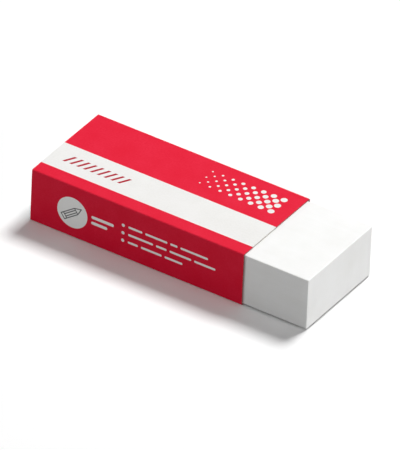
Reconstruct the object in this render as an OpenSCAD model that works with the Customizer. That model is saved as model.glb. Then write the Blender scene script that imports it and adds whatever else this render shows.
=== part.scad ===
// Block eraser held in a folded card sleeve.
// Millimetres. X runs along the eraser to its bare working end, Y to the glued side, Z up.
// The origin is under the middle of the whole object, on the plane that it lies on.

/* [Block] */
// Length of the block
block_l = 65; // [55:1:90]
// Width of the block
block_w = 23.2; // [15:0.1:30]
// Height of the block
block_h = 11.6; // [8:0.1:16]
// Radius of its four long arrises, as the die leaves them
arris_r = 0.2; // [0.1:0.05:1.5]
// Radius round its two ends, where it is cut to length
end_r = 0.1; // [0.05:0.05:1]

/* [Sleeve] */
// Length of the sleeve, from the back end of the block
sleeve_l = 50; // [30:1:54]
// Thickness of the card
card_t = 0.25; // [0.2:0.05:0.5]
// Inside radius of the folds
fold_r = 0.15; // [0.05:0.05:0.35]
// Clearance between the block and the card, on each side
fit_gap = 0.05; // [0.02:0.01:0.3]
// Distance from the cut end of the inner glue tab to the top panel
tab_short = 2.2; // [1:0.1:5]
// Distance from the bottom fold to the cut end of the outer flap
flap_short = 0.15; // [0:0.05:1]

/* [Hidden] */

// Segments of a full circle, for the drawn mesh
round_fn = 48;

// Inside of the sleeve: the block and its clearance
hollow_w = block_w + 2 * fit_gap;
hollow_h = block_h + 2 * fit_gap;
// The front wall is one layer of card, the glued wall at the back is two
outer_w = hollow_w + 3 * card_t;
outer_h = hollow_h + 2 * card_t;
// Outside radius of the folds
bend_r = fold_r + card_t;

// Faces of the sleeve across its width
front_y = -outer_w / 2;
back_y = outer_w / 2;
// Outer face of the glue tab, where the flap is glued on
lap_y = back_y - card_t;
// Cut ends of the tab and of the flap
tab_top_z = card_t + hollow_h - tab_short;
flap_foot_z = bend_r + flap_short;

// Flat run of each panel between its folds or cut ends, in the order in which the strip is folded
tab_run = tab_top_z - bend_r;
bottom_run = lap_y - front_y - 2 * bend_r;
front_run = outer_h - 2 * bend_r;
top_run = outer_w - 2 * bend_r;
flap_run = outer_h - bend_r - flap_foot_z;

// Both pieces start at the back end
back_x = -block_l / 2;
// The block lies against no wall: the clearance is the same all round
block_y = front_y + card_t + fit_gap + block_w / 2;
block_z = card_t + fit_gap + block_h / 2;

// Rectangle with round corners, centred
module rounded_rect(size, r) {
    square([size[0], size[1] - 2 * r], center = true);
    square([size[0] - 2 * r, size[1]], center = true);
    for (sx = [-1, 1], sy = [-1, 1])
        translate([sx * (size[0] / 2 - r), sy * (size[1] / 2 - r)])
            circle(r = r, $fn = round_fn);
}

// Bar along X with round long arrises and rounded ends, centred: the outlines seen along the three axes
module rounded_bar(size, long_r, cut_r) {
    intersection() {
        linear_extrude(height = size[2], center = true)
            rounded_rect([size[0], size[1]], cut_r);
        rotate([90, 0, 0])
            linear_extrude(height = size[1], center = true)
                rounded_rect([size[0], size[2]], cut_r);
        rotate([90, 0, 90])
            linear_extrude(height = size[0], center = true)
                rounded_rect([size[1], size[2]], long_r);
    }
}

// Fold of the card through a right angle, clockwise round the origin from the +Y side to the +X side
module fold() {
    intersection() {
        difference() {
            circle(r = bend_r, $fn = round_fn);
            circle(r = fold_r, $fn = round_fn);
        }
        square(bend_r);
    }
}

// Section of a strip whose panels run on from one another, each after a fold to the right.
// The first panel starts at the origin and runs along +X, with its printed face at y = 0.
module folded_strip(panels, first = 0) {
    run = panels[first];
    translate([0, -card_t])
        square([run, card_t]);
    if (first < len(panels) - 1)
        translate([run, -bend_r]) {
            fold();
            rotate(-90)
                translate([0, bend_r])
                    folded_strip(panels, first + 1);
        }
}

// White eraser compound, extruded as a bar and cut to length
module eraser_block() {
    color("#F6F6F4")
        translate([0, block_y, block_z])
            rounded_bar([block_l, block_w, block_h], arris_r, end_r);
}

// Printed card, one strip folded round the block and glued on the back
module card_sleeve() {
    color("#E92B40")
        translate([back_x, 0, 0])
            rotate([90, 0, 90])
                linear_extrude(height = sleeve_l)
                    translate([lap_y, tab_top_z])
                        rotate(-90)
                            folded_strip([tab_run, bottom_run, front_run, top_run, flap_run]);
}

eraser_block();
card_sleeve();
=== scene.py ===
# Block eraser in a folded card sleeve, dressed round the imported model.
# Metres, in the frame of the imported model: X to the bare working end, Y to the glued side, Z up.
from math import cos, pi, radians, sin

import bmesh
import bpy
from mathutils import Euler, Matrix, Vector


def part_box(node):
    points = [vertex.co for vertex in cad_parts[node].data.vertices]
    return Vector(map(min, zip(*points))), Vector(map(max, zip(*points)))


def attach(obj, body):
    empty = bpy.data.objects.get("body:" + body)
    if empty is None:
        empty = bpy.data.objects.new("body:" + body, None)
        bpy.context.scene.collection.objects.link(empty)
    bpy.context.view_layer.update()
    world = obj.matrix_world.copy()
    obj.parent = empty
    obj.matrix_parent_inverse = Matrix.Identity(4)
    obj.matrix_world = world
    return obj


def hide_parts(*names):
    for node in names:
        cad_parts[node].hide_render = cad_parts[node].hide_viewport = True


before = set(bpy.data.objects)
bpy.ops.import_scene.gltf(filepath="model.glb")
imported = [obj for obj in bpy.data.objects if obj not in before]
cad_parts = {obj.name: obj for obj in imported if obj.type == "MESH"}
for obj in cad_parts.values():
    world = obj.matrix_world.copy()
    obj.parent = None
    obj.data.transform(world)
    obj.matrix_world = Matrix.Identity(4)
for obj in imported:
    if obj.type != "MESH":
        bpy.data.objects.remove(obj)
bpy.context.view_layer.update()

MM = 0.001

# Sizes that the boxes of the two solids give
SLEEVE_LOW, SLEEVE_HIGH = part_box("card_sleeve")
BLOCK_LOW, BLOCK_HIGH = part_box("eraser_block")

# Card: thickness, outside radius of its creased folds, and how far its cut ends stop short
CARD_T = 0.25 * MM
BEND_R = 0.30 * MM
TAB_SHORT = 2.2 * MM
FLAP_SHORT = 0.25 * MM
# A film of glue in the lap keeps the two layers apart
GLUE_T = 0.01 * MM
# Block: radius of its long arrises, and of the arrises round its two cut ends
ARRIS_R = 0.20 * MM
END_R = 0.10 * MM

# Lines of the sleeve's section, on its outside faces
FRONT_Y, BACK_Y = SLEEVE_LOW.y, SLEEVE_HIGH.y
TOP_Z, UNDER_Z = SLEEVE_HIGH.z, SLEEVE_LOW.z
LAP_Y = BACK_Y - CARD_T - GLUE_T
TAB_TOP_Z = TOP_Z - CARD_T - TAB_SHORT
FLAP_FOOT_Z = UNDER_Z + BEND_R + FLAP_SHORT
LEFT_X, SLEEVE_L = SLEEVE_LOW.x, SLEEVE_HIGH.x - SLEEVE_LOW.x

# The card's print layout is on a UV map: U along the eraser from the sleeve's back end, V across
# the flat strip from the fold between the top and the front panel, with the top panel above it.
LAYOUT = "flat_strip"
# Length of card that one unit of the map covers, and the V of that fold
LAYOUT_SPAN = 100 * MM
FOLD_V = 0.5


def linear(hex_colour):
    """An sRGB hex value as linear red, green, blue and alpha."""
    parts = [int(hex_colour[i:i + 2], 16) / 255 for i in (1, 3, 5)]
    return tuple(p / 12.92 if p <= 0.04045 else ((p + 0.055) / 1.055) ** 2.4 for p in parts) + (1,)


def add(tree, kind, links=None, **settings):
    """A node of that kind. links gives each input a value or the output that feeds it."""
    node = tree.nodes.new("ShaderNode" + kind)
    for name, value in settings.items():
        setattr(node, name, value)
    for name, value in (links or {}).items():
        if isinstance(value, bpy.types.NodeSocket):
            tree.links.new(value, node.inputs[name])
        else:
            node.inputs[name].default_value = value
    return node


def new_material(name):
    """An empty material, its node tree and its output."""
    made = bpy.data.materials.new(name)
    made.use_nodes = True
    made.node_tree.nodes.clear()
    return made, made.node_tree, add(made.node_tree, "OutputMaterial")


# Camera

# The photograph is close to a parallel view, so the lens is long and stands far back. One of more
# than about 1500 mm would stand too far back for the views from other sides, which come out blank.
LENS = 1400
# Where the camera stands, in degrees and from its target, and its turn about its own line of sight
CAMERA_AZIMUTH = 31.63
CAMERA_ELEVATION = 34.805
CAMERA_ROLL = 2.554
CAMERA_RANGE = 3460.3 * MM
CAMERA_TARGET = Vector((0.95 * MM, -2.09 * MM, 6.93 * MM))
# The nearest and the farthest that it sees, in metres
CLIP_NEAR, CLIP_FAR = 0.1, 20


def place_camera():
    """The camera at the photograph's viewing angle."""
    data = bpy.data.cameras.new("camera")
    data.lens = LENS
    data.clip_start, data.clip_end = CLIP_NEAR, CLIP_FAR
    camera = bpy.data.objects.new("camera", data)
    bpy.context.scene.collection.objects.link(camera)
    turn = Euler((radians(90 - CAMERA_ELEVATION), 0, radians(CAMERA_AZIMUTH))).to_matrix()
    turn = turn @ Matrix.Rotation(radians(CAMERA_ROLL), 3, "Z")
    stand = CAMERA_TARGET + turn.col[2] * CAMERA_RANGE
    camera.matrix_world = Matrix.Translation(stand) @ turn.to_4x4()
    bpy.context.scene.camera = camera


# Light and floor

# Each lamp: azimuth and elevation in degrees, side in metres, how bright white paper that faces it
# renders, 1 being white, and whether it gives a highlight. The key is high behind the object. The
# fills are low beside it, and their glare would wash out the print as seen from the far side.
LAMPS = {
    "key": (172, 59, 0.34, 0.93, True),
    "end_fill": (88, 7, 0.28, 0.57, False),
    "front_fill": (-40, 10, 0.9, 0.46, False),
}
LAMP_DISTANCE = 1.2
# Light from all round, and the white that the camera sees behind the floor
SKY_LIGHT, SKY_WHITE = 0.14, 1.0
# The floor takes light and shadow up to the first radius round the object, and is plain white from
# the second. The camera sees white paper, and the object a grey one that keeps its sides in shade.
FLOOR_SIDE = 6
FLOOR_LIT, FLOOR_WHITE = 110 * MM, 260 * MM
FLOOR_PAPER, FLOOR_GREY = "#FFFFFF", "#8C8C8C"


def area_light(name, azimuth, elevation, side, strength, highlight):
    """A soft square lamp that looks at the object."""
    data = bpy.data.lights.new(name, "AREA")
    data.size = side
    data.energy = strength * pi * pi * LAMP_DISTANCE ** 2
    lamp = bpy.data.objects.new(name, data)
    bpy.context.scene.collection.objects.link(lamp)
    a, e = radians(azimuth), radians(elevation)
    way = Vector((sin(a) * cos(e), -cos(a) * cos(e), sin(e)))
    lamp.location = way * LAMP_DISTANCE
    lamp.rotation_mode = "QUATERNION"
    lamp.rotation_quaternion = way.to_track_quat("Z", "Y")
    lamp.visible_glossy = highlight


def studio():
    """Three soft lamps, a pale sky, and a white floor that keeps the object's shadow."""
    for name, place in LAMPS.items():
        area_light(name, *place)

    world = bpy.data.worlds.new("studio")
    bpy.context.scene.world = world
    world.use_nodes = True
    tree = world.node_tree
    tree.nodes.clear()
    path = add(tree, "LightPath")
    dim = add(tree, "Background", {"Color": linear("#FFFFFF"), "Strength": SKY_LIGHT})
    white = add(tree, "Background", {"Color": linear("#FFFFFF"), "Strength": SKY_WHITE})
    both = add(tree, "MixShader", {
        0: path.outputs["Is Camera Ray"], 1: dim.outputs[0], 2: white.outputs[0]})
    add(tree, "OutputWorld", {"Surface": both.outputs[0]})

    bpy.ops.object.select_all(action="DESELECT")
    bpy.ops.mesh.primitive_plane_add(size=FLOOR_SIDE, location=(0, 0, 0))
    floor = bpy.context.object
    floor.name = "floor"
    made, tree, out = new_material("white_studio_floor")
    path = add(tree, "LightPath")
    grey = add(tree, "BsdfDiffuse", {"Color": linear(FLOOR_GREY)})
    paper = add(tree, "BsdfDiffuse", {"Color": linear(FLOOR_PAPER)})
    glow = add(tree, "Emission", {"Color": linear("#FFFFFF"), "Strength": SKY_WHITE})
    place = add(tree, "TexCoord")
    away = add(tree, "VectorMath", {0: place.outputs["Object"]}, operation="LENGTH")
    far = add(tree, "MapRange", {
        "Value": away.outputs["Value"], "From Min": FLOOR_LIT, "From Max": FLOOR_WHITE},
        interpolation_type="SMOOTHSTEP")
    white = add(tree, "MixShader", {0: far.outputs[0], 1: paper.outputs[0], 2: glow.outputs[0]})
    both = add(tree, "MixShader", {
        0: path.outputs["Is Camera Ray"], 1: grey.outputs[0], 2: white.outputs[0]})
    tree.links.new(both.outputs[0], out.inputs["Surface"])
    floor.data.materials.append(made)


place_camera()
studio()

scene = bpy.context.scene
scene.view_settings.view_transform = "Standard"


# Modelling helpers

def start_edit(piece):
    """Edit mode on that piece, with nothing selected."""
    bpy.ops.object.select_all(action="DESELECT")
    bpy.context.view_layer.objects.active = piece
    piece.select_set(True)
    bpy.ops.object.mode_set(mode="EDIT")
    bpy.ops.mesh.select_mode(type="VERT")
    bpy.ops.mesh.select_all(action="DESELECT")


def select(piece, kind, test):
    """Selects the vertices, edges or faces for which test holds, and nothing else."""
    bpy.ops.mesh.select_mode(type={"verts": "VERT", "edges": "EDGE", "faces": "FACE"}[kind])
    bpy.ops.mesh.select_all(action="DESELECT")
    mesh = bmesh.from_edit_mesh(piece.data)
    for part in getattr(mesh, kind):
        if test(part):
            part.select_set(True)
    mesh.select_flush_mode()
    bmesh.update_edit_mesh(piece.data)


def apply_modifier(piece, kind, **settings):
    """Adds a modifier with its settings and applies it."""
    bpy.context.view_layer.objects.active = piece
    made = piece.modifiers.new(kind.lower(), kind)
    for name, value in settings.items():
        setattr(made, name, value)
    bpy.ops.object.modifier_apply(modifier=made.name)


def place_in_mesh(piece):
    """Moves the object's place and scale into its mesh."""
    bpy.ops.object.select_all(action="DESELECT")
    bpy.context.view_layer.objects.active = piece
    piece.select_set(True)
    bpy.ops.object.transform_apply(location=True, rotation=True, scale=True)


# Materials

# Inks and board
INK_RED = "#E40F33"
INK_RED_THIN = "#E81D3D"
INK_DARK_RED = "#B3122B"
INK_GREY = "#55585A"
INK_WHITE = "#FCFCFA"
BOARD_WHITE = "#F0EFED"
BOARD_SHADE = "#EBEAE7"
FOLD_RED = "#EF5060"
# Red of the cut edge: the ink's stain, darkened with painted shade that stands for the shadow along the
# cut
EDGE_RED_WITH_PAINTED_SHADE = "#8E1426"
EDGE_GREY = "#A9A6A1"
EDGE_FIBRE = "#B7A9A0"
REVERSE_GREY = "#CFCAC1"
REVERSE_FIBRE = "#A39A8C"
# Eraser compound
BLOCK_WHITE = "#F8F8F7"
BLOCK_SHADE = "#F3F3F1"

# Print layout, in millimetres: along from the sleeve's back end, and up from the fold between the
# front and the top panel. The band has no ink.
BAND_LOW, BAND_HIGH = 3.25, 11.7
# Pale disc near the back end of the front panel
DISC_PLACE, DISC_R = (9.8, -6.4), 3.55
# Pencil on the disc: its turn, half length and half width, its shoulder, lead and collar along it,
# and the width of its lines
PENCIL_TURN = 36
PENCIL_HALF_L, PENCIL_HALF_W = 2.8, 0.82
PENCIL_SHOULDER, PENCIL_LEAD, PENCIL_COLLAR = 1.1, 2.2, -2.05
PENCIL_LINE = 0.2
# Two thick bars beside the disc: heights, half width, and the two ends of each
THICK_UP, THICK_HALF = (-5.6, -6.95), 0.34
THICK_BARS = ((14.3, 19.6), (14.3, 18.1))
# Three rows of thin bars, each row after a dot: heights, half width, and the two ends of each bar
ROWS_UP, ROW_HALF = (-4.5, -6.3, -8.1), 0.25
ROW_BARS = (
    ((23.0, 26.3), (27.0, 32.2), (32.9, 34.6), (35.3, 41.8)),
    ((23.0, 28.9), (29.6, 32.1), (32.8, 37.9), (38.6, 43.6)),
    ((23.0, 25.4), (26.1, 31.0), (31.7, 35.9)),
)
ROW_DOT_ALONG, ROW_DOT_R = 21.8, 0.36
# Slanted strokes on the band: left end, number, pitch, half width, slope, and lower and upper end
STROKES_LEFT, STROKES, STROKE_PITCH, STROKE_HALF, STROKE_SLOPE = 2.6, 9, 1.62, 0.31, 0.55
STROKE_LOW, STROKE_HIGH = 6.1, 8.6
# Dots that shrink towards the back end: lower left corner of their field, its cells along and up and
# their pitch, and the radius of a dot at the left and at the right end
DOTS_LEFT, DOTS_FOOT = 28.2, 14.5
DOT_CELLS, DOT_PITCH = (8, 3), 2.4
DOT_SMALL, DOT_LARGE = 0.14, 0.74
# Half width over which a printed edge fades
PRINT_EDGE = 0.05

# Pattern sizes, in millimetres. Soft patches and fine specks in which the ink is a little thinner
INK_PATCH, INK_SPECK = 4.5, 0.42
# Grain of the coated side, drawn about three times as coarse as it is, and waviness of the sheet
BOARD_GRAIN, BOARD_WAVE = 0.33, 4.0
# Line along a fold where the ink has stretched, and the length and width of its cracks
FOLD_WEAR = 0.16
CRACK_L, CRACK_W = 0.62, 0.14
# Uncoated side: clouds of pulp, the pile, drawn twice as coarse, and fibres by length and width, with
# the two directions in which they lie, in degrees
PULP_CLOUD, PULP_PILE = 2.0, 0.25
FIBRE_L, FIBRE_W = 1.1, 0.17
FIBRE_TURNS = (20, 95)
# Strands in the cut edge
EDGE_STRAND = 0.09
# Eraser compound: clouds, the dusty grain, drawn a few times as coarse as it is, lines of the die by
# spacing, and marks of the blade by spacing, length and slant in degrees
RUBBER_CLOUD, RUBBER_GRAIN = 6.2, 0.31
DIE_LINE = 0.53
BLADE_MARK, BLADE_RUN, BLADE_SLANT = 0.33, 8.3, 8
# A length along which a pattern hardly changes
LONG = 50
# Relief of those patterns, in millimetres from low to high
BOARD_GRAIN_DEEP, BOARD_WAVE_DEEP = 0.012, 0.05
PULP_PILE_DEEP, EDGE_STRAND_DEEP = 0.03, 0.02
RUBBER_GRAIN_DEEP, RUBBER_LINE_DEEP = 0.012, 0.006
# How far light spreads in the eraser compound, and the share of that for red, green and blue
RUBBER_SPREAD, SPREAD_BY_COLOUR = 0.6, (1.0, 0.95, 0.9)


def strip_place(tree):
    """Where a point lies on the flat strip, in mm: along, and up from the front fold."""
    spot = add(tree, "UVMap", uv_map=LAYOUT)
    span = LAYOUT_SPAN / MM
    return add(tree, "Mapping", {
        "Vector": spot.outputs[0], "Scale": (span, span, 0),
        "Location": (0, -FOLD_V * span, 0)}).outputs[0]


def in_mm(tree):
    """Where a point lies on its piece, in mm."""
    place = add(tree, "TexCoord").outputs["Object"]
    return add(tree, "VectorMath", {0: place, "Scale": 1 / MM}, operation="SCALE").outputs[0]


def nearest(tree, distances):
    """The least of some distances, which joins the shapes that they belong to."""
    least = distances[0]
    for other in distances[1:]:
        least = add(tree, "Math", {0: least, 1: other}, operation="MINIMUM").outputs[0]
    return least


def farthest(tree, distances):
    """The greatest of some distances, which keeps what all the shapes share."""
    most = distances[0]
    for other in distances[1:]:
        most = add(tree, "Math", {0: most, 1: other}, operation="MAXIMUM").outputs[0]
    return most


def printed(tree, distance):
    """1 inside a shape and 0 outside it, from the distance to its outline, soft as ink is."""
    return add(tree, "MapRange", {
        "Value": distance, "From Min": -PRINT_EDGE, "From Max": PRINT_EDGE,
        "To Min": 1, "To Max": 0}).outputs[0]


def to_bar(tree, place, ends, up, half):
    """Distance to a level bar with round ends."""
    middle = ((ends[0] + ends[1]) / 2, up, 0)
    reach = ((ends[1] - ends[0]) / 2 - half, 0, 0)
    away = add(tree, "VectorMath", {0: place, 1: middle}, operation="SUBTRACT")
    away = add(tree, "VectorMath", {0: away.outputs[0]}, operation="ABSOLUTE")
    away = add(tree, "VectorMath", {0: away.outputs[0], 1: reach}, operation="SUBTRACT")
    away = add(tree, "VectorMath", {0: away.outputs[0], 1: (0, 0, 0)}, operation="MAXIMUM")
    away = add(tree, "VectorMath", {0: away.outputs[0]}, operation="LENGTH")
    return add(tree, "Math", {0: away.outputs["Value"], 1: half}, operation="SUBTRACT").outputs[0]


def to_disc(tree, place, middle, radius):
    """Distance to a disc."""
    away = add(tree, "VectorMath", {0: place, 1: (*middle, 0)}, operation="DISTANCE")
    return add(tree, "Math", {0: away.outputs["Value"], 1: radius}, operation="SUBTRACT").outputs[0]


def to_stripe(tree, across, middle, half):
    """Distance to a straight stripe, from the coordinate across it."""
    away = add(tree, "Math", {0: across, 1: middle}, operation="SUBTRACT")
    away = add(tree, "Math", {0: away.outputs[0]}, operation="ABSOLUTE")
    return add(tree, "Math", {0: away.outputs[0], 1: half}, operation="SUBTRACT").outputs[0]


def band_of_board(tree, place):
    """The unprinted band along the top panel."""
    up = add(tree, "SeparateXYZ", {0: place}).outputs["Y"]
    return printed(tree, to_stripe(tree, up, (BAND_LOW + BAND_HIGH) / 2, (BAND_HIGH - BAND_LOW) / 2))


def front_print(tree, place):
    """White print of the front panel: the disc, the thick bars, and the rows of thin bars."""
    shapes = [to_disc(tree, place, DISC_PLACE, DISC_R)]
    shapes += [to_bar(tree, place, bar, up, THICK_HALF) for bar, up in zip(THICK_BARS, THICK_UP)]
    for bars, up in zip(ROW_BARS, ROWS_UP):
        shapes.append(to_disc(tree, place, (ROW_DOT_ALONG, up), ROW_DOT_R))
        shapes += [to_bar(tree, place, bar, up, ROW_HALF) for bar in bars]
    return printed(tree, nearest(tree, shapes))


def fading_dots(tree, place):
    """Two square grids of dots, one set between the other, smaller towards the back end."""
    run, rise = DOT_CELLS[0] * DOT_PITCH, DOT_CELLS[1] * DOT_PITCH
    # A dot is whole where its centre lies well inside the field, and left out on its border
    inset = DOT_PITCH / 4
    grids = []
    for shift in (0, DOT_PITCH / 2):
        corner = Vector((DOTS_LEFT + shift, DOTS_FOOT + shift, 0))
        cell = add(tree, "VectorMath", {0: place, 1: corner}, operation="SUBTRACT")
        cell = add(tree, "VectorMath", {0: cell.outputs[0], 1: (DOT_PITCH,) * 3}, operation="SNAP")
        middle = corner + Vector((DOT_PITCH / 2, DOT_PITCH / 2, 0))
        centre = add(tree, "VectorMath", {0: cell.outputs[0], 1: middle}, operation="ADD").outputs[0]
        away = add(tree, "VectorMath", {0: place, 1: centre}, operation="DISTANCE").outputs["Value"]
        parts = add(tree, "SeparateXYZ", {0: centre})
        radius = add(tree, "MapRange", {
            "Value": parts.outputs["X"], "From Min": DOTS_LEFT, "From Max": DOTS_LEFT + run,
            "To Min": DOT_SMALL, "To Max": DOT_LARGE}).outputs[0]
        grids.append(farthest(tree, [
            add(tree, "Math", {0: away, 1: radius}, operation="SUBTRACT").outputs[0],
            to_stripe(tree, parts.outputs["X"], DOTS_LEFT + run / 2, run / 2 - inset),
            to_stripe(tree, parts.outputs["Y"], DOTS_FOOT + rise / 2, rise / 2 - inset)]))
    return printed(tree, nearest(tree, grids))


def slanted_strokes(tree, place):
    """A row of slanted strokes at the back end of the band."""
    parts = add(tree, "SeparateXYZ", {0: place})
    lean = add(tree, "Math", {0: parts.outputs["Y"], 1: STROKE_SLOPE}, operation="MULTIPLY")
    foot = add(tree, "Math", {0: parts.outputs["X"], 1: lean.outputs[0]}, operation="SUBTRACT")
    left = STROKES_LEFT - STROKE_LOW * STROKE_SLOPE
    start = add(tree, "Math", {0: foot.outputs[0], 1: left}, operation="SUBTRACT").outputs[0]
    turn = add(tree, "Math", {0: start, 1: STROKE_PITCH}, operation="FLOORED_MODULO").outputs[0]
    row = STROKES * STROKE_PITCH
    middle, half = (STROKE_LOW + STROKE_HIGH) / 2, (STROKE_HIGH - STROKE_LOW) / 2
    return printed(tree, farthest(tree, [
        to_stripe(tree, turn, STROKE_PITCH / 2, STROKE_HALF),
        to_stripe(tree, start, row / 2, row / 2),
        to_stripe(tree, parts.outputs["Y"], middle, half)]))


def pencil_sign(tree, place):
    """A pencil in thin lines, with a filled lead."""
    turn = radians(PENCIL_TURN)
    shift = Matrix.Rotation(-turn, 3, "Z") @ -Vector((*DISC_PLACE, 0))
    own = add(tree, "Mapping", {"Vector": place, "Rotation": (0, 0, -turn), "Location": shift})
    own = add(tree, "SeparateXYZ", {0: own.outputs[0]})
    along = own.outputs["X"]
    side = add(tree, "Math", {0: own.outputs["Y"]}, operation="ABSOLUTE").outputs[0]
    # The side of the cone is a line through the shoulder and the tip
    run = PENCIL_HALF_L - PENCIL_SHOULDER
    slant = (run ** 2 + PENCIL_HALF_W ** 2) ** 0.5
    normal = (PENCIL_HALF_W / slant, run / slant, 0)
    cone = add(tree, "CombineXYZ", {"X": along, "Y": side})
    cone = add(tree, "VectorMath", {0: cone.outputs[0], 1: normal}, operation="DOT_PRODUCT")
    cone = add(tree, "Math", {0: cone.outputs["Value"], 1: PENCIL_HALF_L * normal[0]},
               operation="SUBTRACT").outputs[0]
    outline = farthest(tree, [
        to_stripe(tree, side, 0, PENCIL_HALF_W), to_stripe(tree, along, 0, PENCIL_HALF_L), cone])
    half = PENCIL_LINE / 2
    # Two edges run along the shaft, a third of its half width out
    shaft = (PENCIL_COLLAR + PENCIL_SHOULDER) / 2
    facets = farthest(tree, [
        to_stripe(tree, side, PENCIL_HALF_W / 3, half),
        to_stripe(tree, along, shaft, PENCIL_SHOULDER - shaft)])
    lines = nearest(tree, [
        to_stripe(tree, outline, -half, half),
        to_stripe(tree, along, PENCIL_SHOULDER, half),
        to_stripe(tree, along, PENCIL_COLLAR, half),
        to_stripe(tree, along, PENCIL_HALF_L, PENCIL_HALF_L - PENCIL_LEAD),
        facets])
    return printed(tree, farthest(tree, [lines, outline]))


def stretched_ink(tree, place):
    """Broken hairlines along the folds, where the card's coating has stretched."""
    up = add(tree, "SeparateXYZ", {0: place}).outputs["Y"]
    height, width, under = TOP_Z - UNDER_Z, BACK_Y - FRONT_Y, LAP_Y - FRONT_Y
    folds = [0, width / MM, -height / MM, -(height + under) / MM]
    line = nearest(tree, [to_stripe(tree, up, fold, FOLD_WEAR / 2) for fold in folds])
    line = add(tree, "MapRange", {"Value": line, "From Max": FOLD_WEAR, "To Min": 1, "To Max": 0})
    crack = add(tree, "Mapping", {"Vector": place, "Scale": (1 / CRACK_L, 1 / CRACK_W, 1)})
    crack = add(tree, "TexNoise", {"Vector": crack.outputs[0], "Scale": 1.0, "Detail": 3.0})
    crack = add(tree, "MapRange", {
        "Value": crack.outputs[0], "From Min": 0.45, "From Max": 0.62, "To Max": 0.35})
    return add(tree, "Math", {0: line.outputs[0], 1: crack.outputs[0]}, operation="MULTIPLY").outputs[0]


def painted(tree, under, over, amount):
    """One colour over another. Each is a hex value or a socket."""
    mix = add(tree, "Mix", {"Factor": amount}, data_type="RGBA")
    for colour, socket in ((under, mix.inputs[6]), (over, mix.inputs[7])):
        if isinstance(colour, str):
            socket.default_value = linear(colour)
        else:
            tree.links.new(colour, socket)
    return mix.outputs[2]


def printed_card():
    """Coated paperboard, offset printed and varnished: full flat colour, a low satin sheen and a
    trace of grain."""
    made, tree, out = new_material("coated_paperboard_offset_print")
    place = strip_place(tree)

    # The red is a full tone, a little thinner in soft patches and fine specks
    patches = add(tree, "TexNoise", {"Vector": place, "Scale": 1 / INK_PATCH, "Detail": 3.0})
    specks = add(tree, "TexNoise", {"Vector": place, "Scale": 1 / INK_SPECK, "Detail": 2.0})
    thin = add(tree, "Math", {0: patches.outputs[0], 1: specks.outputs[0]}, operation="MULTIPLY")
    thin = add(tree, "MapRange", {"Value": thin.outputs[0], "From Min": 0.15, "From Max": 0.40})
    red = painted(tree, INK_RED, INK_RED_THIN, thin.outputs[0])
    red = painted(tree, red, FOLD_RED, stretched_ink(tree, place))
    board = painted(tree, BOARD_WHITE, BOARD_SHADE, thin.outputs[0])

    bare = farthest(tree, [band_of_board(tree, place), fading_dots(tree, place)])
    tint = painted(tree, red, board, bare)
    tint = painted(tree, tint, INK_WHITE, front_print(tree, place))
    tint = painted(tree, tint, INK_GREY, pencil_sign(tree, place))
    tint = painted(tree, tint, INK_DARK_RED, slanted_strokes(tree, place))

    # Board grain under the varnish, and a slow waviness of the sheet
    grain = add(tree, "TexNoise", {"Vector": place, "Scale": 1 / BOARD_GRAIN, "Detail": 3.0})
    wave = add(tree, "TexNoise", {"Vector": place, "Scale": 1 / BOARD_WAVE, "Detail": 1.0})
    bump = add(tree, "Bump", {
        "Height": wave.outputs[0], "Strength": 0.5, "Distance": BOARD_WAVE_DEEP * MM})
    bump = add(tree, "Bump", {
        "Height": grain.outputs[0], "Strength": 0.5, "Distance": BOARD_GRAIN_DEEP * MM,
        "Normal": bump.outputs[0]})
    sheen = add(tree, "MapRange", {
        "Value": grain.outputs[0], "From Min": 0.3, "From Max": 0.7, "To Min": 0.38, "To Max": 0.50})
    skin = add(tree, "BsdfPrincipled", {
        "Base Color": tint, "Roughness": sheen.outputs[0], "IOR": 1.5, "Specular IOR Level": 0.2,
        "Normal": bump.outputs[0]})
    tree.links.new(skin.outputs[0], out.inputs["Surface"])
    return made


def card_reverse():
    """Uncoated back of the card: warm grey pulp, quite matt, with soft clouds and darker fibres."""
    made, tree, out = new_material("uncoated_greyboard_reverse")
    place = in_mm(tree)
    clouds = add(tree, "TexNoise", {"Vector": place, "Scale": 1 / PULP_CLOUD, "Detail": 3.0})
    fibres = []
    for turn in FIBRE_TURNS:
        laid = add(tree, "Mapping", {
            "Vector": place, "Rotation": (0, 0, radians(turn)),
            "Scale": (1 / FIBRE_L, 1 / FIBRE_W, 1 / FIBRE_W)})
        strand = add(tree, "TexNoise", {"Vector": laid.outputs[0], "Scale": 1.0, "Detail": 1.0})
        fibres.append(add(tree, "MapRange", {
            "Value": strand.outputs[0], "From Min": 0.62, "From Max": 0.70, "To Max": 0.6}).outputs[0])
    pulp = add(tree, "MapRange", {
        "Value": clouds.outputs[0], "From Min": 0.3, "From Max": 0.7, "To Max": 0.35})
    tint = painted(tree, REVERSE_GREY, REVERSE_FIBRE, pulp.outputs[0])
    tint = painted(tree, tint, REVERSE_FIBRE, farthest(tree, fibres))
    pile = add(tree, "TexNoise", {"Vector": place, "Scale": 1 / PULP_PILE, "Detail": 4.0})
    bump = add(tree, "Bump", {
        "Height": pile.outputs[0], "Strength": 0.8, "Distance": PULP_PILE_DEEP * MM})
    skin = add(tree, "BsdfPrincipled", {
        "Base Color": tint, "Roughness": 0.92, "Specular IOR Level": 0.25,
        "Normal": bump.outputs[0]})
    tree.links.new(skin.outputs[0], out.inputs["Surface"])
    return made


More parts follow.
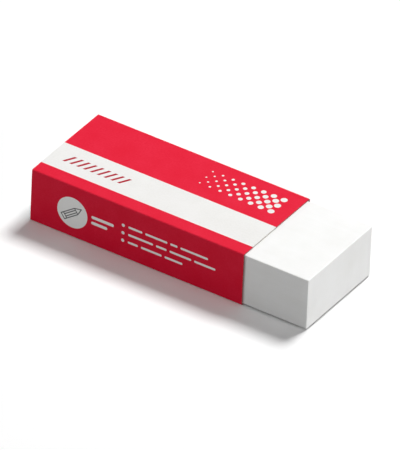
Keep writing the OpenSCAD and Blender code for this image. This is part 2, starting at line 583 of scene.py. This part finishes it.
def cut_card_edge():
    """Card edge cut by a die: fine strands of fibre that the blade has stained with the ink. Its red is
    darker than the ink, and that extra darkness is painted shade along the cut.
    """
    made, tree, out = new_material("die_cut_board_edge")
    strands = add(tree, "TexNoise", {"Vector": in_mm(tree), "Scale": 1 / EDGE_STRAND, "Detail": 3.0})
    pale = add(tree, "MapRange", {
        "Value": strands.outputs[0], "From Min": 0.40, "From Max": 0.72, "To Max": 0.5})
    # The red part of the edge is ink stain plus painted shade
    tint = painted(tree, EDGE_RED_WITH_PAINTED_SHADE, EDGE_GREY, band_of_board(tree, strip_place(tree)))
    tint = painted(tree, tint, EDGE_FIBRE, pale.outputs[0])
    bump = add(tree, "Bump", {
        "Height": strands.outputs[0], "Strength": 0.7, "Distance": EDGE_STRAND_DEEP * MM})
    skin = add(tree, "BsdfPrincipled", {
        "Base Color": tint, "Roughness": 0.9, "Specular IOR Level": 0.25,
        "Normal": bump.outputs[0]})
    tree.links.new(skin.outputs[0], out.inputs["Surface"])
    return made


def eraser_compound():
    """White thermoplastic rubber, extruded and cut to length: matt and slightly deep, with faint
    lengthwise lines from the die, straight marks of the blade on the two ends, and a dusty grain."""
    made, tree, out = new_material("extruded_thermoplastic_rubber")
    place = in_mm(tree)
    clouds = add(tree, "TexNoise", {"Vector": place, "Scale": 1 / RUBBER_CLOUD, "Detail": 3.0})
    grain = add(tree, "TexNoise", {
        "Vector": place, "Scale": 1 / RUBBER_GRAIN, "Detail": 4.0, "Roughness": 0.6})
    # Lines of the die run the whole length
    drawn = add(tree, "Mapping", {
        "Vector": place, "Scale": (1 / LONG, 1 / DIE_LINE, 1 / DIE_LINE)})
    drawn = add(tree, "TexNoise", {"Vector": drawn.outputs[0], "Scale": 1.0, "Detail": 3.0})
    # Marks of the blade run down the cut ends, a little slanted
    dragged = add(tree, "Mapping", {
        "Vector": place, "Rotation": (radians(BLADE_SLANT), 0, 0),
        "Scale": (1 / LONG, 1 / BLADE_MARK, 1 / BLADE_RUN)})
    dragged = add(tree, "TexNoise", {"Vector": dragged.outputs[0], "Scale": 1.0, "Detail": 3.0})
    # The cut ends are the faces that look along X
    facing = add(tree, "SeparateXYZ", {0: add(tree, "TexCoord").outputs["Normal"]})
    facing = add(tree, "Math", {0: facing.outputs["X"]}, operation="ABSOLUTE")
    ends = add(tree, "MapRange", {"Value": facing.outputs[0], "From Min": 0.6, "From Max": 0.9})
    lines = add(tree, "Mix", {"Factor": ends.outputs[0], 2: drawn.outputs[0], 3: dragged.outputs[0]})
    shade = add(tree, "Mix", {"Factor": 0.25, 2: clouds.outputs[0], 3: lines.outputs[0]})
    shade = add(tree, "MapRange", {"Value": shade.outputs[0], "From Min": 0.35, "From Max": 0.65})
    tint = painted(tree, BLOCK_WHITE, BLOCK_SHADE, shade.outputs[0])
    bump = add(tree, "Bump", {
        "Height": lines.outputs[0], "Strength": 0.6, "Distance": RUBBER_LINE_DEEP * MM})
    bump = add(tree, "Bump", {
        "Height": grain.outputs[0], "Strength": 0.6, "Distance": RUBBER_GRAIN_DEEP * MM,
        "Normal": bump.outputs[0]})
    sheen = add(tree, "MapRange", {
        "Value": grain.outputs[0], "From Min": 0.3, "From Max": 0.7, "To Min": 0.50, "To Max": 0.64})
    skin = add(tree, "BsdfPrincipled", {
        "Base Color": tint, "Roughness": sheen.outputs[0], "IOR": 1.5, "Specular IOR Level": 0.4,
        "Subsurface Weight": 0.12, "Subsurface Radius": SPREAD_BY_COLOUR,
        "Subsurface Scale": RUBBER_SPREAD * MM, "Normal": bump.outputs[0]})
    tree.links.new(skin.outputs[0], out.inputs["Surface"])
    return made


# Sleeve

# Largest cell of the card's mesh, and the segments that round a fold
CELL = 2 * MM
FOLD_SEGMENTS = 6
# How far the top and the front panel stand out in their middle at the two open ends, and the share of
# it that is left half way along, where the card grips the block
BOW, BOW_GRIPPED = 0.04 * MM, 0.5
# How closely a point lies to a plane or line of which it is a part
NEAR = 0.001 * MM


def fold_sleeve():
    """One strip of card, laid flat at the height of the top panel, folded, rounded and thickened."""
    front_w, under_w = TOP_Z - UNDER_Z, LAP_Y - FRONT_Y
    # Places across the flat strip: its cut ends, and between them its four folds
    tab_fold = FRONT_Y - front_w - under_w
    lines = [tab_fold - (TAB_TOP_Z - UNDER_Z), tab_fold, FRONT_Y - front_w, FRONT_Y, BACK_Y]
    lines.append(BACK_Y + TOP_Z - FLAP_FOOT_Z)
    middle = Vector((LEFT_X + SLEEVE_L / 2, (lines[0] + lines[-1]) / 2, TOP_Z))
    bpy.ops.object.select_all(action="DESELECT")
    bpy.ops.mesh.primitive_plane_add(size=1, location=middle)
    strip = bpy.context.object
    strip.name = "printed_card_sleeve"
    strip.scale = (SLEEVE_L, lines[-1] - lines[0], 1)
    place_in_mesh(strip)

    start_edit(strip)
    cuts = lines[1:-1]
    for low, high in zip(lines, lines[1:]):
        cells = round((high - low) / CELL)
        cuts += [low + (high - low) * i / cells for i in range(1, cells)]
    for place in cuts:
        bpy.ops.mesh.select_all(action="SELECT")
        bpy.ops.mesh.bisect(plane_co=(0, place, 0), plane_no=(0, 1, 0))
    cells = round(SLEEVE_L / CELL)
    for i in range(1, cells):
        bpy.ops.mesh.select_all(action="SELECT")
        bpy.ops.mesh.bisect(plane_co=(LEFT_X + SLEEVE_L * i / cells, 0, 0), plane_no=(1, 0, 0))
    bpy.ops.object.mode_set(mode="OBJECT")

    # The print layout is put on while the strip is flat
    strip.data.uv_layers[0].name = LAYOUT
    for loop, spot in zip(strip.data.loops, strip.data.uv_layers[0].data):
        place = strip.data.vertices[loop.vertex_index].co
        spot.uv = ((place.x - LEFT_X) / LAYOUT_SPAN, (place.y - FRONT_Y) / LAYOUT_SPAN + FOLD_V)
    flat_y = [v.co.y for v in strip.data.vertices]

    # Each fold: where its line lies in the flat strip, where it lies by now, and which side turns down
    folds = [
        (BACK_Y, BACK_Y, TOP_Z, 1),
        (FRONT_Y, FRONT_Y, TOP_Z, -1),
        (FRONT_Y - front_w, FRONT_Y, UNDER_Z, -1),
        (tab_fold, LAP_Y, UNDER_Z, -1),
    ]
    start_edit(strip)
    for line, y, z, side in folds:
        select(strip, "verts", lambda v: (flat_y[v.index] - line) * side > NEAR)
        # With no window this operator turns the other way: a positive angle turns the +Y side down
        bpy.ops.transform.rotate(value=side * pi / 2, orient_axis="X", center_override=(0, y, z))

    # Score lines, rounded to the outside radius of the fold
    corners = [(y, z) for line, y, z, side in folds]
    select(strip, "edges", lambda e: all(
        any(abs(v.co.y - y) < NEAR and abs(v.co.z - z) < NEAR for y, z in corners) for v in e.verts))
    bpy.ops.mesh.bevel(
        offset=BEND_R, offset_type="OFFSET", segments=FOLD_SEGMENTS, profile=0.5, affect="EDGES",
        clamp_overlap=False)
    bpy.ops.object.mode_set(mode="OBJECT")

    # The top and the front panel belly out. The glued back and the underside stay flat. The fourth
    # power keeps the card's grip even over most of the length
    for v in strip.data.vertices:
        held = 1 - (2 * (v.co.x - LEFT_X) / SLEEVE_L - 1) ** 4
        across = max(0, 1 - (2 * v.co.y / (BACK_Y - FRONT_Y)) ** 2)
        upright = max(0, 1 - (2 * (v.co.z - UNDER_Z) / (TOP_Z - UNDER_Z) - 1) ** 2)
        if v.co.z > TOP_Z - NEAR:
            v.co.z += BOW * across * (1 - (1 - BOW_GRIPPED) * held)
        elif v.co.y < FRONT_Y + NEAR:
            v.co.y -= BOW * upright * (1 - (1 - BOW_GRIPPED) * held)

    for made in (printed_card(), card_reverse(), cut_card_edge()):
        strip.data.materials.append(made)
    apply_modifier(
        strip, "SOLIDIFY", thickness=CARD_T, offset=-1, use_even_offset=True, use_rim=True,
        material_offset=1, material_offset_rim=2)
    return strip


# Shading

# Faces that meet at less than this many degrees are shaded as one round surface
SMOOTH_ANGLE = 35
# How far the largest faces set the shading at their borders, 100 being wholly
FACE_WEIGHT = 100


def smooth_faces(piece):
    """Smooth shading over rounded edges, with the flat faces kept flat."""
    bpy.ops.object.select_all(action="DESELECT")
    bpy.context.view_layer.objects.active = piece
    piece.select_set(True)
    bpy.ops.object.shade_smooth_by_angle(angle=radians(SMOOTH_ANGLE))
    apply_modifier(piece, "WEIGHTED_NORMAL", keep_sharp=True, weight=FACE_WEIGHT)


# Block

ARRIS_SEGMENTS = 5


def round_edges(radius):
    """Rounds the selected edges of the mesh in edit mode."""
    bpy.ops.mesh.bevel(
        offset=radius, offset_type="OFFSET", segments=ARRIS_SEGMENTS, profile=0.5, affect="EDGES")


def cut_block():
    """A bar of eraser compound with rounded long arrises, then its two ends with their own."""
    bpy.ops.object.select_all(action="DESELECT")
    bpy.ops.mesh.primitive_cube_add(size=1, location=(BLOCK_LOW + BLOCK_HIGH) / 2)
    block = bpy.context.object
    block.name = "cut_eraser_block"
    block.scale = BLOCK_HIGH - BLOCK_LOW
    place_in_mesh(block)
    start_edit(block)
    select(block, "edges", lambda e: abs(e.verts[0].co.x - e.verts[1].co.x) > NEAR)
    round_edges(ARRIS_R)
    for end in (BLOCK_LOW.x, BLOCK_HIGH.x):
        select(block, "edges", lambda e: all(abs(v.co.x - end) < NEAR for v in e.verts))
        round_edges(END_R)
    bpy.ops.object.mode_set(mode="OBJECT")
    block.data.materials.append(eraser_compound())
    return block


sleeve = fold_sleeve()
smooth_faces(sleeve)
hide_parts("card_sleeve")
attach(sleeve, "sleeve")

block = cut_block()
smooth_faces(block)
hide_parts("eraser_block")
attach(block, "block")
